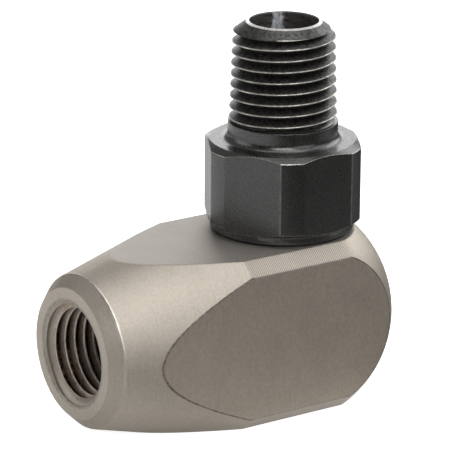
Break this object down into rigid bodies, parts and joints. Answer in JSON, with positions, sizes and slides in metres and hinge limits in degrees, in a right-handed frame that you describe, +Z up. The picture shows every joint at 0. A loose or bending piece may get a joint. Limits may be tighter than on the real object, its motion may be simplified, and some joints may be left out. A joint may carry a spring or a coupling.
{
  "type": "swivel joint",
  "caption": "Right-angle swivel joint: a flat-sided steel body with a female taper pipe port carries a hexagon stem with a male thread that turns freely on a ball row.",
  "frame": {"origin": "on the body's bottom flat, straight under the swivel axis", "axes": "+Z up along the swivel axis, out of the male thread; -X out of the female port; +Y completes the right-handed frame"},
  "size_m": [0.0458, 0.0222, 0.0492],
  "materials": {
    "body_steel": "satin turned and ground steel with a warm grey plating",
    "stem_steel": "dark blackened steel with a dull sheen",
    "seal_rubber": "moulded nitrile rubber",
    "backup_plastic": "machined fluoropolymer",
    "plug_steel": "blackened alloy steel",
    "ball_steel": "ground and lapped bearing steel"
  },
  "bodies": {
    "housing": {"body": "body_steel", "loading_plug": "plug_steel"},
    "stem": {"stem": "stem_steel", "dust_seal": "seal_rubber", "o_ring": "seal_rubber", "backup_ring": "backup_plastic"},
    "ball_row": {"ball_01": "ball_steel", "ball_02": "ball_steel", "ball_03": "ball_steel", "ball_04": "ball_steel", "ball_05": "ball_steel", "ball_06": "ball_steel", "ball_07": "ball_steel", "ball_08": "ball_steel", "ball_09": "ball_steel", "ball_10": "ball_steel", "ball_11": "ball_steel", "ball_12": "ball_steel", "ball_13": "ball_steel", "ball_14": "ball_steel", "ball_15": "ball_steel", "ball_16": "ball_steel", "ball_17": "ball_steel", "ball_18": "ball_steel", "ball_19": "ball_steel", "ball_20": "ball_steel", "ball_21": "ball_steel", "ball_22": "ball_steel", "ball_23": "ball_steel"}
  },
  "joints": [
    {"name": "stem_swivel", "type": "hinge", "parent": "housing", "child": "stem", "pos_m": [0, 0, 0], "axis": [0, 0, 1], "continuous": true},
    {"name": "ball_row_orbit", "type": "hinge", "parent": "housing", "child": "ball_row", "pos_m": [0, 0, 0], "axis": [0, 0, 1], "continuous": true}
  ],
  "couplings": [
    {"joint": "ball_row_orbit", "follows": "stem_swivel", "ratio": 0.4527}
  ]
}
